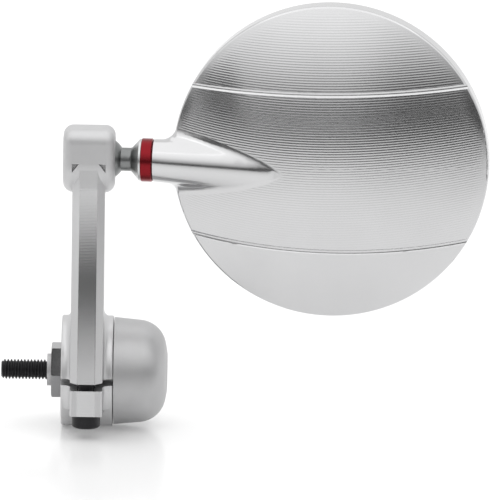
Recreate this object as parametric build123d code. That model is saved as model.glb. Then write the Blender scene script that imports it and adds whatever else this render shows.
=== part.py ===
from build123d import *
import math
import os

# A bar end mirror for a motorcycle, in millimetres. X runs outboard along the
# handlebar, Z is up and -Y is the front of the motorcycle. The origin is on the
# bar's axis, at the end of the nose that enters the bar.

# Clearances
RUNNING_GAP = 0.05
FACE_GAP = 0.1
SOCKET_GAP = 0.1

# Bar end weight and its spigot, turned about X
NOSE_D = 9.65
NOSE_STEP = 1.3
SPIGOT_D = 22.0
WEIGHT_D = 32.3
WEIGHT_L = 16.4
WEIGHT_TAPER_D = 30.8
WEIGHT_TAPER_L = 8.0
WEIGHT_FACE_D = 16.6
WEIGHT_CROWN = 0.85

# Mounting screw, washer and lock nut
SCREW_D = 6.0
SCREW_SHANK_D = 5.3
SCREW_REACH = 13.8
SCREW_L = 40.0
SCREW_TIP = 0.8
SCREW_HEAD_D = 10.0
SCREW_HEAD_L = 6.0
SCREW_KEY = 5.0
SCREW_KEY_DEPTH = 3.0
SCREW_HOLE_GAP = 0.2
WASHER_D = 11.0
WASHER_T = 1.0
NUT_AF = 15.0
NUT_T = 3.1
NUT_CHAMFER = 0.5

# Arm: split clamp, shaft and ball housing
CLAMP_D = 33.2
CLAMP_W = 15.5
CLAMP_BEVEL = 0.3
CLAMP_SIDE_GAP = 0.25
CLAMP_SLOT = 2.0
EAR_REACH = 24.6
EAR_DROP = 8.8
EAR_BEVEL = 0.6
SHAFT_W = 9.7
SHAFT_FACET = 2.2
SHAFT_HOLLOW = 2.9
SHAFT_WAIST = 12.8
SHAFT_SINK = 0.06
SHAFT_ROOT_ROUND = 2.45
HOUSING_HEIGHT = 66.4
HOUSING_FORWARD = 6.8
HOUSING_D = 20.2
HOUSING_W = 15.5
HOUSING_ROUND = 3.0
BROW_ROUND = 4.0
NOTCH_IN = 3.0
NOTCH_OUT = 5.0
NOTCH_TOP = 0.2
NOTCH_H = 2.6
NOTCH_DEPTH = 1.5

# Clamp bolt
BOLT_D = 5.0
BOLT_L = 14.0
BOLT_HEAD_D = 8.5
BOLT_HEAD_L = 4.3
BOLT_KEY = 3.0
BOLT_KEY_DEPTH = 1.8
BOLT_FORWARD = 18.6
BOLT_HOLE_GAP = 0.05
SPOT_FACE_D = 14.4

# Ball joint inside the housing
BALL_D = 13.0
BALL_INSET = 3.56
SEAT_T = 0.7
SEAT_INSET = 0.66
MOUTH_CHAMFER = 0.56
CUP_SETBACK = 3.2
SPRING_ID = 6.8
SPRING_GAP = 0.45
SPRING_T = 0.8
SPRING_RISE = 1.0
PLUG_RECESS = 0.25
PLUG_KEY = 6.0
PLUG_WEB = 1.1

# Ball stud, lock ring and swivel hardware, along the stem from the ball's centre
NECK_D = 7.0
NECK_END = 8.5
NECK_ROUND = 1.0
FLARE_D = 12.5
FLARE_L = 2.4
FLANGE_L = 0.6
RING_D = 13.0
RING_W = 3.3
RING_EDGE = 0.2
SHANK_D = 7.0
THREAD_D = 5.0
THREAD_L = 6.8
SWIVEL_WASHER_D = 9.2
SWIVEL_WASHER_T = 1.0
SWIVEL_NUT_AF = 8.0
SWIVEL_NUT_T = 4.0

# Mirror head
HEAD_PAN = 5.0
HEAD_LEAN = 1.0
STEM_D = 12.7
STEM_FOOT_D = 18.4
STEM_DROP = 2.0
STEM_L = 5.8
STEM_BURY = 6.0
STEM_BLEND = 4.3
STEM_FACE_BEVEL = 0.3
DISC_D = 94.5
DISC_RISE = 1.0
DOME_R = 115.0
DOME_OVER_STEM = 0.15
RIM_W = 2.75
RIM_ROUND = 1.0
RIM_BEVEL = 0.4
SHELL_WALL = 3.0
LEDGE_W = 3.2
RECESS_DEPTH = 3.4
SWIVEL_BORE_L = 15.0
NUT_POCKET_GAP = 0.38
NUT_POCKET_L = 11.0
GROOVE_R = 1.0
GROOVE_DEPTH = 0.35
# Each groove's height over the disc's centre, the radius of its bow and its turn in degrees
GROOVES = ((22.0, 630.0, 1.45), (-26.1, 280.0, 0.0))

# Mirror glass and its tape
GLASS_GAP = 0.2
GLASS_T = 2.0
GLASS_R = 1000.0
TAPE_T = 0.6

# Stations along the bar
NUT_X = NOSE_STEP
SPIGOT_X = NUT_X + NUT_T
WEIGHT_X = SPIGOT_X + CLAMP_W + CLAMP_SIDE_GAP
WEIGHT_END_X = WEIGHT_X + WEIGHT_L
SCREW_SEAT_X = SCREW_L - SCREW_REACH
ARM_X = SPIGOT_X + CLAMP_W / 2

# The ball's centre, and the stations on its own axis, where X is 0 at the ball
BALL_X = ARM_X + HOUSING_W / 2 - BALL_INSET
BALL_CENTRE = (BALL_X, -HOUSING_FORWARD, HOUSING_HEIGHT)
HOUSING_BACK = BALL_INSET - HOUSING_W
SEAT_IN_R = BALL_D / 2 + RUNNING_GAP
SEAT_OUT_R = SEAT_IN_R + SEAT_T
CAVITY_R = SEAT_OUT_R + RUNNING_GAP
SEAT_FRONT = BALL_INSET - SEAT_INSET
PLUG_BORE_R = CAVITY_R + RUNNING_GAP
SPRING_OD = 2 * (PLUG_BORE_R - SPRING_GAP)
SPRING_FRONT = -math.sqrt(SEAT_OUT_R**2 - (SPRING_ID / 2) ** 2) - SOCKET_GAP
PLUG_FRONT = SPRING_FRONT - SPRING_RISE - SPRING_T - RUNNING_GAP
FLARE_END = NECK_END + FLARE_L
RING_START = FLARE_END + FLANGE_L
RING_END = RING_START + RING_W
STEM_START = RING_END + FACE_GAP
NUT_POCKET_START = STEM_START + SWIVEL_BORE_L
SHOULDER = NUT_POCKET_START - FACE_GAP
WASHER_START = NUT_POCKET_START + RUNNING_GAP
SWIVEL_NUT_START = WASHER_START + SWIVEL_WASHER_T
NUT_CORNER_D = SWIVEL_NUT_AF * 2 / math.sqrt(3)
NUT_POCKET_D = max(NUT_CORNER_D, SWIVEL_WASHER_D) + 2 * NUT_POCKET_GAP

# The disc of the mirror head, turned about its own Y axis, which points towards the glass
RIM_R = DISC_D / 2
STEM_RUN = STEM_L + RIM_R
DOME_CREST = STEM_FOOT_D / 2 + DOME_OVER_STEM
DOME_CENTRE_Y = DOME_R - DOME_CREST
RIM_Y = DOME_CENTRE_Y - math.sqrt(DOME_R**2 - RIM_R**2)
GLASS_EDGE_Y = NUT_POCKET_D / 2
LEDGE_Y = GLASS_EDGE_Y - TAPE_T
RIM_BACK = LEDGE_Y + RECESS_DEPTH
RECESS_R = RIM_R - RIM_W
LEDGE_R = RECESS_R - LEDGE_W
GLASS_EDGE_R = RECESS_R - GLASS_GAP

# Where each group of pieces stands
HOUSING = Location(BALL_CENTRE)
HEAD = HOUSING * Location((0, 0, 0), (0, 0, -HEAD_PAN)) * Location((0, 0, 0), (HEAD_LEAN, 0, 0))
DISC = Location((STEM_START + STEM_RUN, 0, DISC_RISE))


def turned(*outline):
    """A solid turned about X from the corners (x, radius) of its half section."""
    return revolve(make_face(Polyline(*outline, close=True)), Axis.X, 360)


def tube(x0, x1, outer_d, inner_d):
    """A plain ring about X."""
    return turned((x0, inner_d / 2), (x1, inner_d / 2), (x1, outer_d / 2), (x0, outer_d / 2))


def rod(x0, x1, diameter):
    """A plain bar about X."""
    return turned((x0, 0), (x1, 0), (x1, diameter / 2), (x0, diameter / 2))


def hex_bar(x0, x1, across_flats):
    """A hexagonal bar about X, with flats up and down."""
    outline = Plane.YZ * RegularPolygon(across_flats / 2, 6, major_radius=False)
    return Pos(x0, 0, 0) * extrude(outline, x1 - x0)


def hex_nut(x0, x1, across_flats, bore_d, chamfer_w):
    """A hexagonal nut about X, with its corners turned off on both faces."""
    corner_r = across_flats / math.sqrt(3)
    drop = chamfer_w * math.tan(math.radians(30))
    profile = turned(
        (x0, bore_d / 2),
        (x1, bore_d / 2),
        (x1, corner_r - chamfer_w),
        (x1 - drop, corner_r),
        (x0 + drop, corner_r),
        (x0, corner_r - chamfer_w),
    )
    return hex_bar(x0, x1, across_flats) & profile


def bar_end_weight():
    """Rounded weight, clamp spigot and threaded nose in one turned piece."""
    corner_start = (WEIGHT_X + WEIGHT_TAPER_L, WEIGHT_TAPER_D / 2)
    corner_end = (WEIGHT_END_X - WEIGHT_CROWN, WEIGHT_FACE_D / 2)
    crown_r = ((WEIGHT_FACE_D / 2) ** 2 + WEIGHT_CROWN**2) / (2 * WEIGHT_CROWN)
    taper_run = (WEIGHT_TAPER_L, (WEIGHT_TAPER_D - WEIGHT_D) / 2)
    outline = [
        Polyline(
            (WEIGHT_END_X, 0),
            (0, 0),
            (0, NOSE_D / 2),
            (SPIGOT_X, NOSE_D / 2),
            (SPIGOT_X, SPIGOT_D / 2),
            (WEIGHT_X, SPIGOT_D / 2),
            (WEIGHT_X, WEIGHT_D / 2),
            corner_start,
        ),
        TangentArc(corner_start, corner_end, tangent=taper_run),
        CenterArc(
            (WEIGHT_END_X - crown_r, 0),
            crown_r,
            0,
            math.degrees(math.asin(WEIGHT_FACE_D / 2 / crown_r)),
        ),
    ]
    body = revolve(make_face(outline), Axis.X, 360)
    hole = rod(0, WEIGHT_END_X, SCREW_D + 2 * SCREW_HOLE_GAP)
    counterbore = rod(SCREW_SEAT_X - WASHER_T, WEIGHT_END_X, WASHER_D + 2 * SCREW_HOLE_GAP)
    return body - hole - counterbore


def socket_screw(shank_d, length, head_d, head_l, tip, key, key_depth):
    """A socket head screw along X, with its seat at 0 and its head on the +X side."""
    shank_r = shank_d / 2
    body = turned(
        (-length, 0),
        (-length, shank_r - tip),
        (-length + tip, shank_r),
        (0, shank_r),
        (0, head_d / 2),
        (head_l - tip / 2, head_d / 2),
        (head_l, head_d / 2 - tip / 2),
        (head_l, 0),
    )
    return body - hex_bar(head_l - key_depth, head_l, key)


def mounting_screw():
    """The stud that enters the bar, with a reduced shank inside the weight."""
    screw = socket_screw(
        SCREW_D, SCREW_L, SCREW_HEAD_D, SCREW_HEAD_L, SCREW_TIP, SCREW_KEY, SCREW_KEY_DEPTH
    )
    relief = tube(0, SCREW_SEAT_X, SCREW_D + 2 * SCREW_HOLE_GAP, SCREW_SHANK_D)
    return Pos(SCREW_SEAT_X, 0, 0) * screw - relief


def screw_washer():
    return tube(SCREW_SEAT_X - WASHER_T, SCREW_SEAT_X, WASHER_D, SCREW_D + 2 * SCREW_HOLE_GAP)


def lock_nut():
    return hex_nut(NUT_X, SPIGOT_X, NUT_AF, NOSE_D + 2 * RUNNING_GAP, NUT_CHAMFER)


def clamp_ring():
    """The clamp's barrel about X, with bevelled ends, still solid."""
    ring = rod(SPIGOT_X, SPIGOT_X + CLAMP_W, CLAMP_D)
    return chamfer(ring.edges().filter_by(GeomType.CIRCLE), CLAMP_BEVEL)


def arm_shaft():
    """The shaft from its side outline, with two facets in front, down to the slot's middle."""
    front_top = HOUSING_FORWARD + HOUSING_D / 2 - SHAFT_SINK
    front_middle = (EAR_REACH + front_top) / 2 - SHAFT_HOLLOW
    middle_z = HOUSING_HEIGHT / 2
    back_top = (-HOUSING_FORWARD / 2, HOUSING_HEIGHT - HOUSING_D / 3)
    back_foot = (0, CLAMP_D / 2)
    outline = [
        Polyline(back_foot, (0, 0), (-EAR_REACH, 0)),
        ThreePointArc((-EAR_REACH, 0), (-front_middle, middle_z), (-front_top, HOUSING_HEIGHT)),
        Polyline((-front_top, HOUSING_HEIGHT), (-HOUSING_FORWARD, HOUSING_HEIGHT), back_top),
        ThreePointArc(back_top, (SHAFT_WAIST - front_middle, middle_z), back_foot),
    ]
    side = Plane.YZ * make_face(outline)
    shaft = Pos(ARM_X, 0, 0) * extrude(side, SHAFT_W / 2, both=True)
    front = shaft.faces().sort_by(Axis.Y)[0]
    return chamfer(front.edges().filter_by(GeomType.CIRCLE), SHAFT_FACET)


def clamp_ear():
    """The clamp's lower ear, from the slot's middle down to the bolt's seat."""
    ear = Box(SHAFT_W, EAR_REACH, EAR_DROP, align=(Align.CENTER, Align.MAX, Align.MAX))
    corners = ear.edges().filter_by(Axis.Z).group_by(Axis.Y)[0]
    return Pos(ARM_X, 0, 0) * chamfer(corners, EAR_BEVEL)


def clamp_and_shaft():
    """The clamp and the shaft, with a concave round where the shaft's sides leave the clamp."""
    body = clamp_ring() + arm_shaft() + clamp_ear()
    root = [
        edge
        for edge in body.edges().filter_by(GeomType.CIRCLE)
        if abs(edge.radius - CLAMP_D / 2) < RUNNING_GAP
        and abs(abs(edge.center().X - ARM_X) - SHAFT_W / 2) < RUNNING_GAP
    ]
    room = (CLAMP_W - SHAFT_W) / 2 - CLAMP_BEVEL - RUNNING_GAP
    return fillet(root, min(SHAFT_ROOT_ROUND, room))


def housing_barrel():
    """The ball housing's barrel about the ball's axis, squared up in front and above, still solid."""
    length = BALL_INSET - HOUSING_BACK
    brow = Box(length, HOUSING_D / 2, HOUSING_D / 2, align=(Align.MIN, Align.MAX, Align.MIN))
    brow = fillet(brow.edges().filter_by(Axis.X).sort_by_distance((0, -HOUSING_D, HOUSING_D))[0], BROW_ROUND)
    barrel = rod(HOUSING_BACK, BALL_INSET, HOUSING_D) + Pos(HOUSING_BACK, 0, 0) * brow
    ends = barrel.faces().sort_by(Axis.X)
    return fillet(ends[0].edges() + ends[-1].edges(), HOUSING_ROUND)


def housing_cavity():
    """The room for the ball's seat, the cup, the spring and the plug, open at both ends."""
    mouth_x = BALL_INSET - MOUTH_CHAMFER
    mouth_r = math.sqrt(CAVITY_R**2 - mouth_x**2)
    start_angle = math.degrees(math.acos(mouth_x / CAVITY_R))
    outline = [
        Polyline(
            (0, CAVITY_R),
            (0, PLUG_BORE_R),
            (HOUSING_BACK, PLUG_BORE_R),
            (HOUSING_BACK, 0),
            (BALL_INSET, 0),
            (BALL_INSET, mouth_r + MOUTH_CHAMFER),
            (mouth_x, mouth_r),
        ),
        CenterArc((0, 0), CAVITY_R, start_angle, 90 - start_angle),
    ]
    return revolve(make_face(outline), Axis.X, 360)


def facet_notch(side):
    """The small three-cornered pocket where a front facet runs out into the housing."""
    inner = ARM_X + side * NOTCH_IN
    outer = ARM_X + side * NOTCH_OUT
    top = HOUSING_HEIGHT + NOTCH_TOP
    outline = Polyline((inner, top), (outer, top), (outer, top - NOTCH_H), close=True)
    front = HOUSING_FORWARD + HOUSING_D / 2
    plane = Plane((0, NOTCH_DEPTH - front, 0), x_dir=(1, 0, 0), z_dir=(0, -1, 0))
    return extrude(plane * make_face(outline), 2 * NOTCH_DEPTH)


def arm():
    """The arm: split clamp, shaft and ball housing, cut from one billet."""
    body = clamp_and_shaft() + HOUSING * housing_barrel()
    body -= HOUSING * housing_cavity()
    body -= rod(SPIGOT_X, SPIGOT_X + CLAMP_W, SPIGOT_D + 2 * RUNNING_GAP)
    slot = Box(CLAMP_W, EAR_REACH, CLAMP_SLOT, align=(Align.CENTER, Align.MAX, Align.CENTER))
    body -= Pos(ARM_X, 0, 0) * slot
    bolt_hole = Cylinder(
        BOLT_D / 2 + BOLT_HOLE_GAP,
        BOLT_L + BOLT_D / 2,
        align=(Align.CENTER, Align.CENTER, Align.MIN),
    )
    spot_face = Cylinder(
        SPOT_FACE_D / 2, CLAMP_D / 2, align=(Align.CENTER, Align.CENTER, Align.MAX)
    )
    body -= Pos(ARM_X, -BOLT_FORWARD, -EAR_DROP) * (bolt_hole + spot_face)
    return body - facet_notch(-1) - facet_notch(1)


def clamp_bolt():
    bolt = socket_screw(
        BOLT_D, BOLT_L, BOLT_HEAD_D, BOLT_HEAD_L, SCREW_TIP, BOLT_KEY, BOLT_KEY_DEPTH
    )
    return Pos(ARM_X, -BOLT_FORWARD, -EAR_DROP) * Rot(0, 90, 0) * bolt


def ball_shell(x0, x1):
    """A slice of the nylon shell that fits round the ball, between two planes across X."""
    arcs = []
    for radius in (SEAT_IN_R, SEAT_OUT_R):
        first = math.degrees(math.acos(x1 / radius))
        last = math.degrees(math.acos(max(x0 / radius, -1)))
        arcs.append(CenterArc((0, 0), radius, first, last - first))
    inner, outer = arcs
    ends = [Line(inner @ 0, outer @ 0), Line(inner @ 1, outer @ 1)]
    return revolve(make_face(arcs + ends), Axis.X, 360)


def ball_seat():
    return HOUSING * ball_shell(0, SEAT_FRONT)


def pressure_cup():
    return HOUSING * ball_shell(-SEAT_OUT_R, -CUP_SETBACK)


def disc_spring():
    """A conical spring washer behind the cup."""
    rim = SPRING_FRONT - SPRING_RISE
    return HOUSING * turned(
        (SPRING_FRONT, SPRING_ID / 2),
        (rim, SPRING_OD / 2),
        (rim - SPRING_T, SPRING_OD / 2),
        (SPRING_FRONT - SPRING_T, SPRING_ID / 2),
    )


def socket_plug():
    """The screwed plug that closes the housing and loads the spring."""
    back = HOUSING_BACK + PLUG_RECESS
    plug = rod(back, PLUG_FRONT, 2 * (PLUG_BORE_R - RUNNING_GAP))
    return HOUSING * (plug - hex_bar(back, PLUG_FRONT - PLUG_WEB, PLUG_KEY))


def ball_stud():
    """Ball, neck, flared flange, swivel shank and threaded end in one turned piece."""
    ball_r = BALL_D / 2
    neck_r = NECK_D / 2
    neck_start = math.sqrt(ball_r**2 - neck_r**2)
    neck_angle = math.degrees(math.asin(neck_r / ball_r))
    thread_end = SHOULDER + THREAD_L
    outline = [
        CenterArc((0, 0), ball_r, neck_angle, 180 - neck_angle),
        Polyline(
            (-ball_r, 0),
            (thread_end, 0),
            (thread_end, THREAD_D / 2 - SCREW_TIP),
            (thread_end - SCREW_TIP, THREAD_D / 2),
            (SHOULDER, THREAD_D / 2),
            (SHOULDER, SHANK_D / 2),
            (RING_START, SHANK_D / 2),
            (RING_START, FLARE_D / 2),
            (FLARE_END, FLARE_D / 2),
            (NECK_END, neck_r),
            (neck_start, neck_r),
        ),
    ]
    profile = make_face(outline)
    neck_corner = profile.vertices().sort_by_distance((NECK_END, neck_r))[0]
    return HEAD * revolve(fillet(neck_corner, NECK_ROUND), Axis.X, 360)


def lock_ring():
    """The anodised ring between the stud's flange and the mirror's stem."""
    ring = tube(RING_START, RING_END, RING_D, SHANK_D + 2 * RUNNING_GAP)
    circles = ring.edges().filter_by(GeomType.CIRCLE)
    rims = [edge for edge in circles if abs(edge.radius - RING_D / 2) < RUNNING_GAP]
    return HEAD * chamfer(rims, RING_EDGE)


def swivel_washer():
    end = WASHER_START + SWIVEL_WASHER_T
    return HEAD * tube(WASHER_START, end, SWIVEL_WASHER_D, THREAD_D + 2 * RUNNING_GAP)


def swivel_nut():
    end = SWIVEL_NUT_START + SWIVEL_NUT_T
    bore_d = THREAD_D + 2 * RUNNING_GAP
    return HEAD * hex_nut(SWIVEL_NUT_START, end, SWIVEL_NUT_AF, bore_d, NUT_CHAMFER)


def disc_turned(profile):
    """A solid turned about the disc's axis from a half section in (radius, y)."""
    return DISC * revolve(profile, Axis.Y, 360)


def disc_cylinder(radius, y0, y1):
    """A plain cylinder about the disc's axis."""
    return disc_turned(Pos(0, y0) * Rectangle(radius, y1 - y0, align=Align.MIN))


def dome_sphere(radius):
    """A ball about the centre that the dome is struck from."""
    return DISC * Pos(0, DOME_CENTRE_Y, 0) * Sphere(radius)


def dome_blank():
    """The domed disc with its rounded rim, still solid."""
    half_y = DOME_CENTRE_Y - math.sqrt(DOME_R**2 - (RIM_R / 2) ** 2)
    outline = make_face(
        [
            ThreePointArc((0, -DOME_CREST), (RIM_R / 2, half_y), (RIM_R, RIM_Y)),
            Polyline((RIM_R, RIM_Y), (RIM_R, RIM_BACK), (0, RIM_BACK), (0, -DOME_CREST)),
        ]
    )
    outline = chamfer(outline.vertices().sort_by_distance((RIM_R, RIM_BACK))[0], RIM_BEVEL)
    outline = fillet(outline.vertices().sort_by_distance((RIM_R, RIM_Y))[0], RIM_ROUND)
    return disc_turned(outline)


def stem_bar():
    """The stem, which widens towards the disc and drops a little, cut square at its face."""
    slope = (STEM_FOOT_D - STEM_D) / 2 / STEM_RUN
    end = STEM_RUN - STEM_BURY
    lead = STEM_D / 2
    bar = turned(
        (-lead, 0),
        (end, 0),
        (end, STEM_D / 2 + slope * end),
        (-lead, STEM_D / 2 - slope * lead),
    )
    bar = Rot(0, math.degrees(math.atan2(STEM_DROP, STEM_RUN)), 0) * bar
    waste = Box(STEM_D, 2 * STEM_D, 2 * STEM_D, align=(Align.MAX, Align.CENTER, Align.CENTER))
    return Pos(STEM_START, 0, 0) * (bar - waste)


def blended_blank():
    """The domed disc with its stem, joined by a concave blend."""
    body = dome_blank() + stem_bar()
    plain = (GeomType.CIRCLE, GeomType.LINE, GeomType.ELLIPSE)
    body = fillet([edge for edge in body.edges() if edge.geom_type not in plain], STEM_BLEND)
    face = body.faces().sort_by(Axis.X)[0]
    return chamfer(face.edges(), STEM_FACE_BEVEL)


def groove_cutter(height, bow, turn):
    """A round groove along a circle on the dome, which bows upwards towards its ends."""
    ball_r = DOME_R + GROOVE_R - GROOVE_DEPTH
    front = math.sqrt(ball_r**2 - height**2)
    tilt = math.atan2(front, bow + height)
    normal = (0, -math.sin(tilt), math.cos(tilt))
    offset = front * math.sin(tilt) + height * math.cos(tilt)
    centre = (0, DOME_CENTRE_Y + offset * normal[1], offset * normal[2])
    ring = Torus(math.sqrt(ball_r**2 - offset**2), GROOVE_R)
    place = Plane(centre, x_dir=(1, 0, 0), z_dir=normal).location
    return DISC * Rot(0, -turn, 0) * place * ring


def shell_pocket():
    """The hollow behind the glass, with the stem left standing in it as a boss."""
    hollow = disc_cylinder(LEDGE_R, -DOME_CREST, LEDGE_Y) & dome_sphere(DOME_R - SHELL_WALL)
    return hollow - rod(STEM_START, NUT_POCKET_START + NUT_POCKET_L, STEM_D)


def mirror_shell():
    """The billet mirror head: grooved dome, blended stem, glass recess and swivel bore."""
    body = blended_blank()
    for groove in GROOVES:
        body -= groove_cutter(*groove)
    body -= disc_cylinder(RECESS_R, LEDGE_Y, RIM_BACK + STEM_FOOT_D)
    body -= shell_pocket()
    body -= rod(STEM_START, NUT_POCKET_START, SHANK_D + 2 * RUNNING_GAP)
    body -= rod(NUT_POCKET_START, NUT_POCKET_START + NUT_POCKET_L, NUT_POCKET_D)
    return HEAD * body


def glass_tape():
    """The ring of foam tape on the ledge, under the glass."""
    ring = disc_cylinder(GLASS_EDGE_R, LEDGE_Y, GLASS_EDGE_Y)
    return HEAD * (ring - disc_cylinder(LEDGE_R, LEDGE_Y, GLASS_EDGE_Y))


def mirror_glass():
    """The convex glass, of even thickness."""
    half_r = GLASS_EDGE_R / 2
    bulge = GLASS_R - math.sqrt(GLASS_R**2 - GLASS_EDGE_R**2)
    half_bulge = bulge - GLASS_R + math.sqrt(GLASS_R**2 - half_r**2)
    inner = GLASS_EDGE_Y
    outer = GLASS_EDGE_Y + GLASS_T
    outline = [
        ThreePointArc((0, inner + bulge), (half_r, inner + half_bulge), (GLASS_EDGE_R, inner)),
        Line((GLASS_EDGE_R, inner), (GLASS_EDGE_R, outer)),
        ThreePointArc((GLASS_EDGE_R, outer), (half_r, outer + half_bulge), (0, outer + bulge)),
        Line((0, outer + bulge), (0, inner + bulge)),
    ]
    return HEAD * disc_turned(make_face(outline))


SUB_PARTS = (
    bar_end_weight,
    mounting_screw,
    screw_washer,
    lock_nut,
    arm,
    clamp_bolt,
    ball_seat,
    disc_spring,
    socket_plug,
    pressure_cup,
    ball_stud,
    lock_ring,
    swivel_washer,
    swivel_nut,
    mirror_shell,
    glass_tape,
    mirror_glass,
)

os.makedirs("parts", exist_ok=True)
for make in SUB_PARTS:
    export_step(make(), f"parts/{make.__name__}.step")
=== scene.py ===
import math

import bmesh
import bpy
import numpy as np
from mathutils import Matrix, Vector
from mathutils.geometry import delaunay_2d_cdt
from mathutils.kdtree import KDTree


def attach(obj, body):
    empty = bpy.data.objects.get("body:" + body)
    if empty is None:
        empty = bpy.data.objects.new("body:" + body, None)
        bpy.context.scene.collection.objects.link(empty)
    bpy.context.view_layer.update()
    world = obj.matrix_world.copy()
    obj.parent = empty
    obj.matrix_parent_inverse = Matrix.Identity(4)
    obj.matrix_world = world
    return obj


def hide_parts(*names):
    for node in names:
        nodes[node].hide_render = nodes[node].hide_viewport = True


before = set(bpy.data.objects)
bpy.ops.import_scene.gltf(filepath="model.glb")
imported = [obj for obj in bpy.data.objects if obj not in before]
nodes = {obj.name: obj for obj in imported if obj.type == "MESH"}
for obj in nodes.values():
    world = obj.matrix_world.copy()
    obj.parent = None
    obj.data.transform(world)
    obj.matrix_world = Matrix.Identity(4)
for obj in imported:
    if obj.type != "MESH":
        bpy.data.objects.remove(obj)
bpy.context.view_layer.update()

MM = 0.001

# Places and sizes that the materials and pieces share with the solids, in millimetres and degrees
ARM_X = 12.15
BALL = Vector((16.34, -6.8, 66.4))
HEAD_PAN = -5.0
HEAD_LEAN = 1.0
PAN_TURN = Matrix.Rotation(math.radians(HEAD_PAN), 3, "Z")
LEAN_TURN = Matrix.Rotation(math.radians(HEAD_LEAN), 3, "X")
HEAD_TURN = (PAN_TURN @ LEAN_TURN).to_euler()
DISC_IN_HEAD = Vector((67.95, 0.0, 1.0))
DISC_CENTRE = BALL + HEAD_TURN.to_matrix() @ DISC_IN_HEAD
DISC_AXES = np.array(HEAD_TURN.to_matrix())
DOME_R = 115.0
DOME_CREST = 9.35
DOME_CENTRE_Y = DOME_R - DOME_CREST
DOME_EDGE_R = 46.66
GLASS_R = 1000.0
GLASS_T = 2.0

# The mounting screw's bare end, an M6 thread that runs from its tip to the nose
THREAD_TIP = -13.8
THREAD_END = 0.0
THREAD_PITCH = 1.0
CREST_R = 3.0
ROOT_R = 2.42
TIP_BEVEL = 0.8
FLANK_STEEPNESS = 0.78

# The cutter's passes over the dome: each rises a little to the right and bows upwards towards its
# ends, the lower ones more, and the right end less than the left. They fade out over a short way at
# the grooves and the stem, and over a longer one at the rim
PASS_PITCH = 0.76
PASS_DEPTH = 0.022
PASS_SLOPE = 0.0265
BOW_AT_CENTRE = 0.0040
BOW_PER_MM = -5.5e-5
BOW_EASE = -6.0e-5
EDGE_FADE = 0.8
RIM_FADE = 3.2

# The net that carries the passes: its step along a pass, its rows to a pass, how far it reaches from
# the disc's centre, its highest row, and its least distance from the outline of the dome's faces. It is
# laid out flat, with the rows drawn apart until its meshes are square
NET_STEP = 1.2
NET_ROWS = 4
NET_R = 46.8
NET_TOP = 52.0
NET_GAP = 0.12
ROW_STEP = PASS_PITCH / NET_ROWS
ROW_STRETCH = NET_STEP / ROW_STEP

# The stage: the floor's height in millimetres, and the tall card's radius and the height that its
# angles are measured from, in metres
FLOOR_Z = -16.65
CARD_R = 1.6
CARD_EYE_Z = 0.06


def link_object(name, data):
    """A new object in the scene, for a mesh, a camera or a lamp."""
    made = bpy.data.objects.new(name, data)
    bpy.context.scene.collection.objects.link(made)
    return made


# Camera


def add_camera():
    """A long lens a little above the part, square to the bar."""
    elevation, roll = math.radians(12.0), math.radians(0.85)
    distance, focal_px, picture_px = 2500.0, 8367.3, 491
    target = Vector((59.17, -12.0, 40.216))
    forward = Vector((0, math.cos(elevation), -math.sin(elevation)))
    right = Vector((1, 0, 0))
    up = right.cross(forward)
    right_rolled = math.cos(roll) * right + math.sin(roll) * up
    up_rolled = math.cos(roll) * up - math.sin(roll) * right
    data = bpy.data.cameras.new("camera")
    data.sensor_fit = "HORIZONTAL"
    data.sensor_width = 36.0
    data.lens = focal_px / picture_px * data.sensor_width
    data.clip_end = 50.0
    camera = link_object("camera", data)
    turn = Matrix((right_rolled, up_rolled, -forward)).transposed()
    camera.matrix_world = Matrix.Translation((target - forward * distance) * MM) @ turn.to_4x4()
    bpy.context.scene.camera = camera


# Node helpers


def node(tree, kind, inputs=None, **settings):
    """A new node, with its settings and the values or sockets of its inputs."""
    made = tree.nodes.new(kind)
    for key, value in settings.items():
        setattr(made, key, value)
    for key, value in (inputs or {}).items():
        socket = made.inputs[key]
        if isinstance(value, bpy.types.NodeSocket):
            tree.links.new(value, socket)
        else:
            socket.default_value = value
    return made


def calc(tree, operation, *values):
    """The output of a Math node."""
    return node(tree, "ShaderNodeMath", dict(enumerate(values)), operation=operation).outputs[0]


def ramp(tree, value, low, high, out_low=0.0, out_high=1.0):
    """A smooth step of a value between two limits."""
    inputs = {"Value": value, "From Min": low, "From Max": high, "To Min": out_low, "To Max": out_high}
    return node(tree, "ShaderNodeMapRange", inputs, interpolation_type="SMOOTHSTEP").outputs["Result"]


def split_xyz(tree, vector):
    """The three parts of a vector."""
    return node(tree, "ShaderNodeSeparateXYZ", {"Vector": vector}).outputs


def millimetres(tree, centre=(0, 0, 0), turn=(0, 0, 0)):
    """Object coordinates in millimetres, about a centre and turned into a frame of their own."""
    inputs = {
        "Vector": node(tree, "ShaderNodeTexCoord").outputs["Object"],
        "Location": [c * MM for c in centre],
        "Rotation": tuple(turn),
        "Scale": (MM, MM, MM),
    }
    return node(tree, "ShaderNodeMapping", inputs, vector_type="TEXTURE").outputs["Vector"]


def noise(tree, vector, scale, detail=2.0, stretch=None):
    """A noise from 0 to 1, stretched where a factor for each axis is given."""
    if stretch:
        vector = node(tree, "ShaderNodeMapping", {"Vector": vector, "Scale": stretch}).outputs["Vector"]
    inputs = {"Vector": vector, "Scale": scale, "Detail": detail}
    return node(tree, "ShaderNodeTexNoise", inputs).outputs["Fac"]


def scallops(tree, position, pitch, depth):
    """The height of round-bottomed passes of a cutter, side by side, along a position in millimetres."""
    phase = calc(tree, "SUBTRACT", calc(tree, "FRACT", calc(tree, "DIVIDE", position, pitch)), 0.5)
    return calc(tree, "MULTIPLY", calc(tree, "MULTIPLY", phase, phase), 4 * depth)


def tint(tree, value, dark, light):
    """A colour between two shades, by a value from 0 to 1. A shade is a colour or a node's output."""
    low, high = (c if isinstance(c, bpy.types.NodeSocket) else (*c, 1) for c in (dark, light))
    return node(tree, "ShaderNodeMix", {"Factor": value, 6: low, 7: high}, data_type="RGBA").outputs[2]


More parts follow.
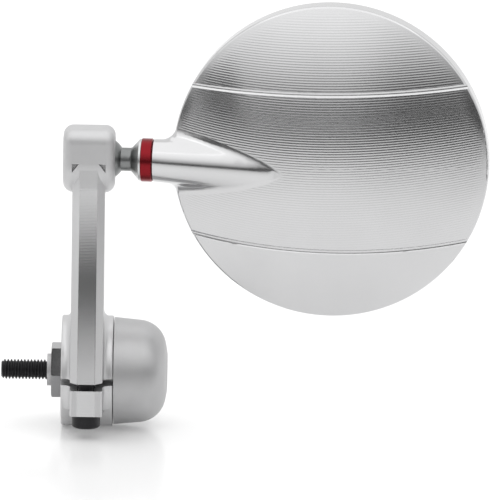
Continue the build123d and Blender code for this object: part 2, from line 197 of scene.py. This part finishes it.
def empty_material(name):
    """A material without nodes, and its node tree."""
    material = bpy.data.materials.new(name)
    material.use_nodes = True
    material.node_tree.nodes.clear()
    return material, material.node_tree


def blank_material(name, metallic=0.0):
    """A material with a bare shader: the material, its node tree and the shader."""
    material, tree = empty_material(name)
    shader = node(tree, "ShaderNodeBsdfPrincipled", {"Metallic": metallic})
    node(tree, "ShaderNodeOutputMaterial", {"Surface": shader.outputs["BSDF"]})
    return material, tree, shader


def set_colour(tree, shader, value, dark, light):
    """A base colour between two shades, by a value from 0 to 1."""
    tree.links.new(tint(tree, value, dark, light), shader.inputs["Base Color"])


def set_roughness(tree, shader, grain, least, spread):
    """A roughness from its least value up, by a grain's share of its spread."""
    rough = calc(tree, "ADD", least, calc(tree, "MULTIPLY", grain, spread))
    tree.links.new(rough, shader.inputs["Roughness"])


def set_bump(tree, shader, height_mm, normal=None):
    """A bump from a height in millimetres, over the surface's own normal or another one."""
    inputs = {"Height": height_mm, "Distance": MM, "Strength": 1.0}
    if normal:
        inputs["Normal"] = normal
    tree.links.new(node(tree, "ShaderNodeBump", inputs).outputs["Normal"], shader.inputs["Normal"])


# Materials


def shell_material():
    """Milled billet: satin over the cutter's passes, and a finer polish on the stem, rim and grooves."""
    material, tree, shader = blank_material("shell_milled", metallic=1.0)
    place = millimetres(tree, DISC_CENTRE, HEAD_TURN)
    spoke = {0: place, 1: (0, DOME_CENTRE_Y, 0)}
    from_centre = node(tree, "ShaderNodeVectorMath", spoke, operation="DISTANCE").outputs["Value"]
    proud = calc(tree, "SUBTRACT", from_centre, DOME_R)
    over_grooves = ramp(tree, proud, -0.16, -0.05)
    under_stem = ramp(tree, proud, 0.03, 0.10, 1.0, 0.0)
    on_dome = calc(tree, "MULTIPLY", over_grooves, under_stem)
    streak = noise(tree, place, scale=1.0, detail=3.0, stretch=(0.12, 1.6, 1.6))
    smear = noise(tree, place, scale=0.05)
    set_colour(tree, shader, smear, (0.555, 0.555, 0.56), (0.61, 0.61, 0.615))
    set_roughness(tree, shader, streak, least=ramp(tree, on_dome, 0, 1, 0.14, 0.17), spread=0.06)
    streak_height = ramp(tree, on_dome, 0, 1, 0.0016, 0.0003)
    set_bump(tree, shader, calc(tree, "MULTIPLY", streak, streak_height))
    return material


def arm_material():
    """Satin anodised billet, with broken edges and the cutter's fine cross lines down the shaft's front."""
    material, tree, shader = blank_material("arm_milled", metallic=1.0)
    place = millimetres(tree, (ARM_X, 0, 0))
    x, y, z = split_xyz(tree, place)
    on_flat = ramp(tree, calc(tree, "ABSOLUTE", x), 2.5, 2.9, 1.0, 0.0)
    forward = ramp(tree, y, -14.0, -15.0)
    under_housing = ramp(tree, z, 57.0, 62.0, 1.0, 0.0)
    in_front = calc(tree, "MULTIPLY", calc(tree, "MULTIPLY", on_flat, forward), under_housing)
    lines = calc(tree, "MULTIPLY", scallops(tree, z, pitch=0.45, depth=0.003), in_front)
    grain = noise(tree, place, scale=5.0, detail=3.0)
    smear = noise(tree, place, scale=0.12)
    set_colour(tree, shader, smear, (0.565, 0.565, 0.57), (0.615, 0.615, 0.62))
    # The sides are satin, the housing more so, and the front of the shaft is bright
    satin = ramp(tree, z, 56.0, 61.0, 0.36, 0.52)
    set_roughness(tree, shader, grain, least=ramp(tree, in_front, 0, 1, satin, 0.15), spread=0.08)
    edges = node(tree, "ShaderNodeBevel", {"Radius": 0.3 * MM}, samples=6).outputs["Normal"]
    height = calc(tree, "ADD", lines, calc(tree, "MULTIPLY", grain, 0.003))
    set_bump(tree, shader, height, edges)
    return material


def weight_material():
    """Bead blasted aluminium with a soft even sparkle."""
    material, tree, shader = blank_material("weight_blasted", metallic=1.0)
    place = millimetres(tree)
    pits = noise(tree, place, scale=6.0, detail=4.0)
    smear = noise(tree, place, scale=0.15)
    set_colour(tree, shader, smear, (0.46, 0.46, 0.465), (0.52, 0.52, 0.525))
    set_roughness(tree, shader, pits, least=0.40, spread=0.12)
    set_bump(tree, shader, calc(tree, "MULTIPLY", pits, 0.02))
    return material


def turned_material(name, dark, light, roughness, centre, turn, pitch=0.35, depth=0.003, painted_highlight=None):
    """Turned metal: fine rings about its own axis, X in its frame. An optional painted highlight makes the
    base colour grow lighter along the axis.
    """
    material, tree, shader = blank_material(name, metallic=1.0)
    place = millimetres(tree, centre, turn)
    x, y, z = split_xyz(tree, place)
    squares = [calc(tree, "MULTIPLY", side, side) for side in (y, z)]
    radius = calc(tree, "SQRT", calc(tree, "ADD", *squares))
    rings = scallops(tree, calc(tree, "ADD", x, radius), pitch, depth)
    grain = noise(tree, place, scale=3.0, detail=3.0)
    # Painted highlight: past a start, the base colour grows lighter along the axis. This stands in for light
    # on the part, not for a change in the metal
    if painted_highlight:
        start, end, highlight = painted_highlight
        base_tone = tint(tree, grain, dark, light)
        set_colour(tree, shader, ramp(tree, x, start, end), base_tone, highlight)
    else:
        set_colour(tree, shader, grain, dark, light)
    spread = 0.08
    set_roughness(tree, shader, grain, roughness - spread / 2, spread)
    set_bump(tree, shader, calc(tree, "ADD", rings, calc(tree, "MULTIPLY", grain, 0.002)))
    return material


def speckled_material(name, dark, light, roughness, scale, height, metallic=0.0):
    """A plain moulded, plated or foam surface, mottled and slightly uneven."""
    material, tree, shader = blank_material(name, metallic)
    grain = noise(tree, millimetres(tree), scale, detail=4.0)
    set_colour(tree, shader, grain, dark, light)
    spread = 0.1
    set_roughness(tree, shader, grain, roughness - spread / 2, spread)
    set_bump(tree, shader, calc(tree, "MULTIPLY", grain, height))
    return material


def glass_material():
    """Silvered glass, with the faintest unevenness."""
    material, tree, shader = blank_material("mirror_glass", metallic=1.0)
    shader.inputs["Coat Weight"].default_value = 0.5
    shader.inputs["Coat Roughness"].default_value = 0.02
    haze = noise(tree, millimetres(tree), scale=0.08)
    set_colour(tree, shader, haze, (0.80, 0.82, 0.825), (0.84, 0.86, 0.86))
    set_roughness(tree, shader, haze, least=0.015, spread=0.02)
    return material


def assign_materials():
    """Gives each CAD node its finish, and returns the finishes by the nodes' names."""
    black = speckled_material(
        "black_oxide", (0.010, 0.010, 0.011), (0.028, 0.028, 0.030),
        roughness=0.38, scale=2.5, height=0.004, metallic=0.6,
    )
    steel = speckled_material(
        "plain_steel", (0.44, 0.44, 0.45), (0.56, 0.56, 0.57),
        roughness=0.28, scale=1.5, height=0.003, metallic=1.0,
    )
    nylon = speckled_material(
        "nylon", (0.76, 0.75, 0.70), (0.84, 0.83, 0.79), roughness=0.45, scale=1.2, height=0.004
    )
    foam = speckled_material(
        "foam_tape", (0.012, 0.012, 0.012), (0.035, 0.035, 0.035), roughness=0.8, scale=4.0, height=0.03
    )
    # Painted light on the stud: its base colour is darker on the neck and grows to a painted highlight on the
    # flange. Where that painted highlight starts and is brightest along the stem's axis, and its colour there
    flange_highlight = (8.8, 11.2, (0.58, 0.585, 0.585))
    stud = turned_material(
        "stud_steel", (0.18, 0.185, 0.185), (0.25, 0.255, 0.255),
        roughness=0.30, centre=BALL, turn=HEAD_TURN, painted_highlight=flange_highlight,
    )
    red = turned_material(
        "red_anodised", (0.19, 0.013, 0.018), (0.24, 0.017, 0.023),
        roughness=0.26, centre=BALL, turn=HEAD_TURN, pitch=0.25,
    )
    nut = turned_material(
        "nut_steel", (0.27, 0.27, 0.275), (0.33, 0.33, 0.335),
        roughness=0.14, centre=(0, 0, 0), turn=(0, 0, 0), pitch=0.3, depth=0.001,
    )
    finishes = {
        "bar_end_weight": weight_material(),
        "mounting_screw": black,
        "clamp_bolt": black,
        "socket_plug": black,
        "screw_washer": steel,
        "disc_spring": steel,
        "swivel_washer": steel,
        "swivel_nut": steel,
        "lock_nut": nut,
        "arm": arm_material(),
        "ball_seat": nylon,
        "pressure_cup": nylon,
        "ball_stud": stud,
        "lock_ring": red,
        "mirror_shell": shell_material(),
        "glass_tape": foam,
        "mirror_glass": glass_material(),
    }
    for name, material in finishes.items():
        nodes[name].material_slots[0].material = material
    return finishes


# Mesh helpers for the mirror's head


def disc_places(mesh):
    """A mesh's points in the disc's own frame, in millimetres."""
    return (np.array([v.co[:] for v in mesh.vertices]) / MM - np.array(DISC_CENTRE)) @ DISC_AXES


def corner_normals(mesh):
    """The normals at the corners of a mesh's faces."""
    return np.array([n.vector[:] for n in mesh.corner_normals])


def set_normals(mesh, normals):
    """Smooth shading, with a given normal at each corner of each face."""
    mesh.polygons.foreach_set("use_smooth", [True] * len(mesh.polygons))
    mesh.normals_split_custom_set(normals.tolist())


# The mirror shell with the cutter's passes milled into its dome


def level_rise(u):
    """How far the pass through the disc's centre rises along its way, in millimetres."""
    return PASS_SLOPE * u + BOW_AT_CENTRE * u**2 / 2 + BOW_EASE * u**3 / 6


def pass_height(u, v):
    """Which pass a place on the dome belongs to, as the pass's height at the middle, in millimetres."""
    return (v - level_rise(u)) / (1 + BOW_PER_MM * u * u / 2)


def pass_rise(row, u):
    """The height of a pass at a place along it, in millimetres."""
    return row * (1 + BOW_PER_MM * u * u / 2) + level_rise(u)


def pass_depth(u, v):
    """How deep the passes cut below the dome, as a soft wave."""
    return PASS_DEPTH * (0.5 + 0.5 * np.cos(2 * np.pi * pass_height(u, v) / PASS_PITCH))


def pass_normal(u, v, y, share):
    """The dome's outward normals, tipped by the share of the passes that is cut."""
    step = 0.01
    slope_u = (pass_depth(u + step, v) - pass_depth(u - step, v)) / (2 * step) * share
    slope_v = (pass_depth(u, v + step) - pass_depth(u, v - step)) / (2 * step) * share
    normal = np.column_stack([u / DOME_R + slope_u, (y - DOME_CENTRE_Y) / DOME_R, v / DOME_R + slope_v])
    return normal / np.linalg.norm(normal, axis=1)[:, None]


def dome_faces(points, triangles):
    """Which triangles of the CAD shell lie on the dome, by their distance from its centre and their slope."""
    slack, least_cosine = 0.004, 0.995
    spokes = points - np.array((0, DOME_CENTRE_Y, 0))
    on_dome = np.abs(np.linalg.norm(spokes, axis=1) - DOME_R) < slack
    a, b, c = (points[triangles[:, i]] for i in range(3))
    facing = np.cross(b - a, c - a)
    outward = spokes[triangles].mean(axis=1)
    square = np.sum(facing * outward, axis=1)
    level = square > least_cosine * np.linalg.norm(facing, axis=1) * np.linalg.norm(outward, axis=1)
    return on_dome[triangles].all(axis=1) & level


def outline_edges(triangles):
    """The edges that only one of the triangles has, round their outside and round their holes."""
    sides = np.vstack([triangles[:, [0, 1]], triangles[:, [1, 2]], triangles[:, [2, 0]]])
    sides, uses = np.unique(np.sort(sides, axis=1), axis=0, return_counts=True)
    return sides[uses == 1]


def within(places, starts, ends):
    """Which places lie inside an outline with holes, by how many of its edges are to their right."""
    batch = 4000
    inside = np.zeros(len(places), dtype=bool)
    for first in range(0, len(places), batch):
        x, y = (places[first:first + batch, i, None] for i in (0, 1))
        spans = (starts[:, 1] > y) != (ends[:, 1] > y)
        rise = np.where(ends[:, 1] == starts[:, 1], 1.0, ends[:, 1] - starts[:, 1])
        at = starts[:, 0] + (ends[:, 0] - starts[:, 0]) * (y - starts[:, 1]) / rise
        inside[first:first + batch] = (spans & (x < at)).sum(axis=1) % 2 == 1
    return inside


def border_distance(border):
    """A function that gives a place's distance from the nearest of the border's points."""
    tree = KDTree(len(border))
    for i, (u, v) in enumerate(border):
        tree.insert((u, v, 0), i)
    tree.balance()
    return lambda u, v: tree.find((u, v, 0))[2]


def lay_net(border, distance):
    """The net's points, laid out flat: first the border's, and then the rows along the passes."""
    rows, columns = round(NET_TOP / ROW_STEP), round(NET_R / NET_STEP)
    flat = [Vector((u, pass_height(u, v) * ROW_STRETCH)) for u, v in border]
    for row in np.arange(-rows, rows) * ROW_STEP:
        for u in np.arange(-columns, columns + 1) * NET_STEP:
            v = pass_rise(row, u)
            if u * u + v * v < NET_R**2 and distance(u, v) > NET_GAP:
                flat.append(Vector((u, row * ROW_STRETCH)))
    return flat


def milled_dome(points, triangles):
    """A fine net over the dome's faces, inside their own outline: places, normals and triangles."""
    filled, merge_distance = 1, 1e-6
    outline = outline_edges(triangles)
    corners = np.unique(outline)
    renumber = {int(old): new for new, old in enumerate(corners)}
    edges = [(renumber[int(a)], renumber[int(b)]) for a, b in outline]
    border = points[corners][:, [0, 2]]
    distance = border_distance(border)
    flat = lay_net(border, distance)
    starts = np.array([flat[a][:] for a, _ in edges])
    ends = np.array([flat[b][:] for _, b in edges])
    # The triangulation fills the holes too, so what lies in them is taken out again
    flat, _, faces, *_ = delaunay_2d_cdt(flat, edges, [], filled, merge_distance)
    flat = np.array([p[:] for p in flat])
    faces = np.array(faces)
    faces = faces[within(flat[faces].mean(axis=1), starts, ends)]
    u = flat[:, 0]
    v = pass_rise(flat[:, 1] / ROW_STRETCH, u)
    near = np.array([distance(a, b) for a, b in zip(u, v)])
    share = np.clip(np.minimum(near / EDGE_FADE, (DOME_EDGE_R - np.hypot(u, v)) / RIM_FADE), 0, 1)
    share = share * share * (3 - 2 * share)
    y = DOME_CENTRE_Y - np.sqrt(DOME_R**2 - u * u - v * v)
    normals = pass_normal(u, v, y, share)
    return np.column_stack([u, y + pass_depth(u, v) * share, v]), normals, faces


def milled_shell(material):
    """The CAD shell with its dome's faces cut anew as passes of a round cutter."""
    source = nodes["mirror_shell"].data
    source.calc_loop_triangles()
    corners = np.array([t.vertices[:] for t in source.loop_triangles])
    loops = np.array([t.loops[:] for t in source.loop_triangles])
    points = disc_places(source)
    on_dome = dome_faces(points, corners)
    places, dome_normals, faces = milled_dome(points, corners[on_dome])
    whole = np.vstack([points, places]) @ DISC_AXES.T + np.array(DISC_CENTRE)
    triangles = np.vstack([corners[~on_dome], faces + len(points)])
    kept_normals = corner_normals(source)[loops[~on_dome]]
    normals = np.vstack([kept_normals, (dome_normals @ DISC_AXES.T)[faces]]).reshape(-1, 3)
    used, triangles = np.unique(triangles, return_inverse=True)
    mesh = bpy.data.meshes.new("mirror_shell_milled")
    mesh.from_pydata((whole[used] * MM).tolist(), [], triangles.reshape(-1, 3).tolist())
    set_normals(mesh, normals)
    mesh.materials.append(material)
    shell = link_object("mirror_shell_milled", mesh)
    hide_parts("mirror_shell")
    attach(shell, "mirror_head")


# The mirror glass


def clear_glass(material):
    """The CAD glass with true normals on its round faces, which the CAD mesh lacks at their centres."""
    least_cosine = 0.9
    mesh = nodes["mirror_glass"].data.copy()
    points = disc_places(mesh)
    corners = np.array([loop.vertex_index for loop in mesh.loops])
    normals = corner_normals(mesh) @ DISC_AXES
    facing = np.concatenate([[(np.array(f.normal) @ DISC_AXES)[1]] * f.loop_total for f in mesh.polygons])
    crest = points[:, 1].max()
    for side, depth in ((1, 0.0), (-1, GLASS_T)):
        round_face = facing * side > least_cosine
        spokes = points[corners[round_face]] - np.array((0, crest - depth - GLASS_R, 0))
        normals[round_face] = side * spokes / np.linalg.norm(spokes, axis=1)[:, None]
    set_normals(mesh, normals @ DISC_AXES.T)
    glass = link_object("mirror_glass_clear", mesh)
    glass.material_slots[0].material = material
    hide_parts("mirror_glass")
    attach(glass, "mirror_head")


# The mounting screw with its real thread


def thread_radius(x, angle):
    """The thread's radius at a place along and round the stud, in millimetres."""
    wave = math.cos(2 * math.pi * (x / THREAD_PITCH - angle / (2 * math.pi)))
    share = min(1.0, max(0.0, 0.5 + FLANK_STEEPNESS * wave))
    return min(ROOT_R + (CREST_R - ROOT_R) * share, CREST_R - TIP_BEVEL + (x - THREAD_TIP))


def thread_ring(shape, x, around):
    """A ring of points round the stud, on the thread's surface."""
    ring = []
    for k in range(around):
        angle = 2 * math.pi * k / around
        radius = thread_radius(x, angle)
        ring.append(shape.verts.new((x * MM, radius * math.cos(angle) * MM, radius * math.sin(angle) * MM)))
    return ring


def threaded_screw(material):
    """The CAD screw with the bare end of its shank cut as a thread."""
    steps, around = 184, 56
    bare_x = -0.01 * MM
    mesh = nodes["mounting_screw"].data.copy()
    shape = bmesh.new()
    shape.from_mesh(mesh)
    bare = [f for f in shape.faces if f.calc_center_median().x < bare_x]
    bmesh.ops.delete(shape, geom=bare, context="FACES")
    stations = [THREAD_TIP + (THREAD_END - THREAD_TIP) * i / steps for i in range(steps + 1)]
    rings = [thread_ring(shape, x, around) for x in stations]
    for low, high in zip(rings, rings[1:]):
        for k in range(around):
            n = (k + 1) % around
            shape.faces.new((low[k], high[k], high[n], low[n])).smooth = True
    shape.faces.new(rings[0])
    bmesh.ops.recalc_face_normals(shape, faces=shape.faces)
    shape.to_mesh(mesh)
    shape.free()
    screw = link_object("mounting_screw_threaded", mesh)
    screw.material_slots[0].material = material
    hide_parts("mounting_screw")
    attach(screw, "bar_end")


# Stage: white floor, soft light, and cards that only reflections see. Its lengths are in metres


def level_corners(left, right, front, back, above=0.0):
    """The corners of a sheet that lies at the floor's height, or a little above it, and faces up."""
    z = FLOOR_Z * MM + above
    return [(left, front, z), (right, front, z), (right, back, z), (left, back, z)]


def add_sheet(name, corners, material):
    """A flat sheet with four corners."""
    mesh = bpy.data.meshes.new(name)
    mesh.from_pydata(corners, [], [(0, 1, 2, 3)])
    mesh.materials.append(material)
    return link_object(name, mesh)


def show_in_reflections_only(card):
    """Hides a card from the camera and from matt surfaces, and takes its shadow away."""
    card.visible_camera = False
    card.visible_diffuse = False
    card.visible_shadow = False


def add_floor():
    """A white glossy table. A little glow, for what sees it as background, keeps its open parts white."""
    half, glow = 6.0, 0.12
    material, tree, shader = blank_material("floor_white")
    shader.inputs["Base Color"].default_value = (0.90, 0.90, 0.90, 1)
    shader.inputs["Roughness"].default_value = 0.20
    rays = node(tree, "ShaderNodeLightPath").outputs
    seen = calc(tree, "MAXIMUM", rays["Is Camera Ray"], rays["Is Glossy Ray"])
    seen = calc(tree, "MAXIMUM", seen, rays["Is Transmission Ray"])
    shader.inputs["Emission Color"].default_value = (1, 1, 1, 1)
    tree.links.new(calc(tree, "MULTIPLY", seen, glow), shader.inputs["Emission Strength"])
    floor = add_sheet("floor", level_corners(-half, half, -half, half), material)


def card_material():
    """Light by the angle up the tall card: dark low down, and deeper a little to the camera's right."""
    low, high, brightest, deeper = -20.0, 60.0, 1.5, 8.0
    stops = ((-20.0, 0.05), (3.0, 0.05), (8.0, 0.55), (15.0, 0.80), (21.0, 1.05), (28.0, 1.25), (45.0, 1.45))
    in_degrees = 180 / math.pi
    material, tree = empty_material("card_grey")
    x, _, z = split_xyz(tree, node(tree, "ShaderNodeTexCoord").outputs["Object"])
    rise = calc(tree, "DIVIDE", calc(tree, "SUBTRACT", z, CARD_EYE_Z), CARD_R)
    angle = calc(tree, "MULTIPLY", calc(tree, "ARCTANGENT", rise), in_degrees)
    aside = calc(tree, "MULTIPLY", calc(tree, "ARCSINE", calc(tree, "DIVIDE", x, CARD_R)), in_degrees)
    right = calc(tree, "MULTIPLY", ramp(tree, aside, -5.0, 20.0), ramp(tree, aside, 30.0, 60.0, 1.0, 0.0))
    shift = calc(tree, "SUBTRACT", angle, calc(tree, "MULTIPLY", right, deeper))
    position = node(tree, "ShaderNodeMapRange", {"Value": shift, "From Min": low, "From Max": high})
    steps = node(tree, "ShaderNodeValToRGB", {"Fac": position.outputs["Result"]})
    elements = steps.color_ramp.elements
    while len(elements) < len(stops):
        elements.new(0.5)
    for element, (at, level) in zip(elements, stops):
        grey = level / brightest
        element.position = (at - low) / (high - low)
        element.color = (grey, grey, grey, 1)
    glow = node(tree, "ShaderNodeEmission", {"Color": steps.outputs["Color"], "Strength": brightest})
    node(tree, "ShaderNodeOutputMaterial", {"Surface": glow.outputs["Emission"]})
    return material


def add_card():
    """A tall card round the camera's side that only reflections see."""
    lowest, highest, side, step = -12.0, 55.0, 80, 5
    angles = [math.radians(a) for a in range(-side, side + 1, step)]
    heights = [CARD_R * math.tan(math.radians(e)) + CARD_EYE_Z for e in (lowest, highest)]
    points = [(CARD_R * math.sin(a), -CARD_R * math.cos(a), z) for z in heights for a in angles]
    count = len(angles)
    mesh = bpy.data.meshes.new("card")
    mesh.from_pydata(points, [], [(i, i + 1, count + i + 1, count + i) for i in range(count - 1)])
    mesh.materials.append(card_material())
    card = link_object("card", mesh)
    show_in_reflections_only(card)


def add_dark_card(name, corners, material):
    """A dark card that only reflections see, and only from the side that it faces."""
    card = add_sheet(name, corners, material)
    show_in_reflections_only(card)


def add_dark_cards():
    """The table's dark front, a strip for the disc's right edge and a small card for the nut's upper flat."""
    material, tree, shader = blank_material("card_dark")
    shader.inputs["Base Color"].default_value = (0.10, 0.10, 0.10, 1)
    shader.inputs["Roughness"].default_value = 0.9
    behind = node(tree, "ShaderNodeNewGeometry").outputs["Backfacing"]
    tree.links.new(calc(tree, "SUBTRACT", 1.0, behind), shader.inputs["Alpha"])
    apron = level_corners(left=-1.5, right=1.5, front=-1.6, back=-0.78, above=0.002)
    add_dark_card("apron", apron, material)
    strip = level_corners(left=0.40, right=0.75, front=-0.30, back=0.0, above=0.002)
    add_dark_card("side_strip", strip, material)
    near_nut_x, rise, away, half_w, half_h = -0.014, math.radians(48.0), 0.13, 0.02, 0.024
    centre = Vector((near_nut_x, -away * math.cos(rise), away * math.sin(rise)))
    aside = Vector((half_w, 0, 0))
    along = Vector((0, math.sin(rise), math.cos(rise))) * half_h
    corners = [centre - aside + along, centre + aside + along, centre + aside - along, centre - aside - along]
    add_dark_card("nut_card", corners, material)


def add_light():
    """A white room, and a soft box overhead."""
    world = bpy.data.worlds.new("studio")
    world.use_nodes = True
    background = world.node_tree.nodes["Background"]
    background.inputs["Color"].default_value = (1, 1, 1, 1)
    background.inputs["Strength"].default_value = 1.0
    bpy.context.scene.world = world
    size, radiance = 1.8, 0.45
    lamp = bpy.data.lights.new("softbox", "AREA")
    lamp.shape = "SQUARE"
    lamp.size = size
    lamp.energy = radiance * math.pi * size * size
    box = link_object("softbox", lamp)
    box.location = (0.05, 0.0, 1.3)


add_camera()
finishes = assign_materials()
threaded_screw(finishes["mounting_screw"])
milled_shell(finishes["mirror_shell"])
clear_glass(finishes["mirror_glass"])
add_floor()
add_card()
add_dark_cards()
add_light()
bpy.context.scene.view_settings.view_transform = "Standard"
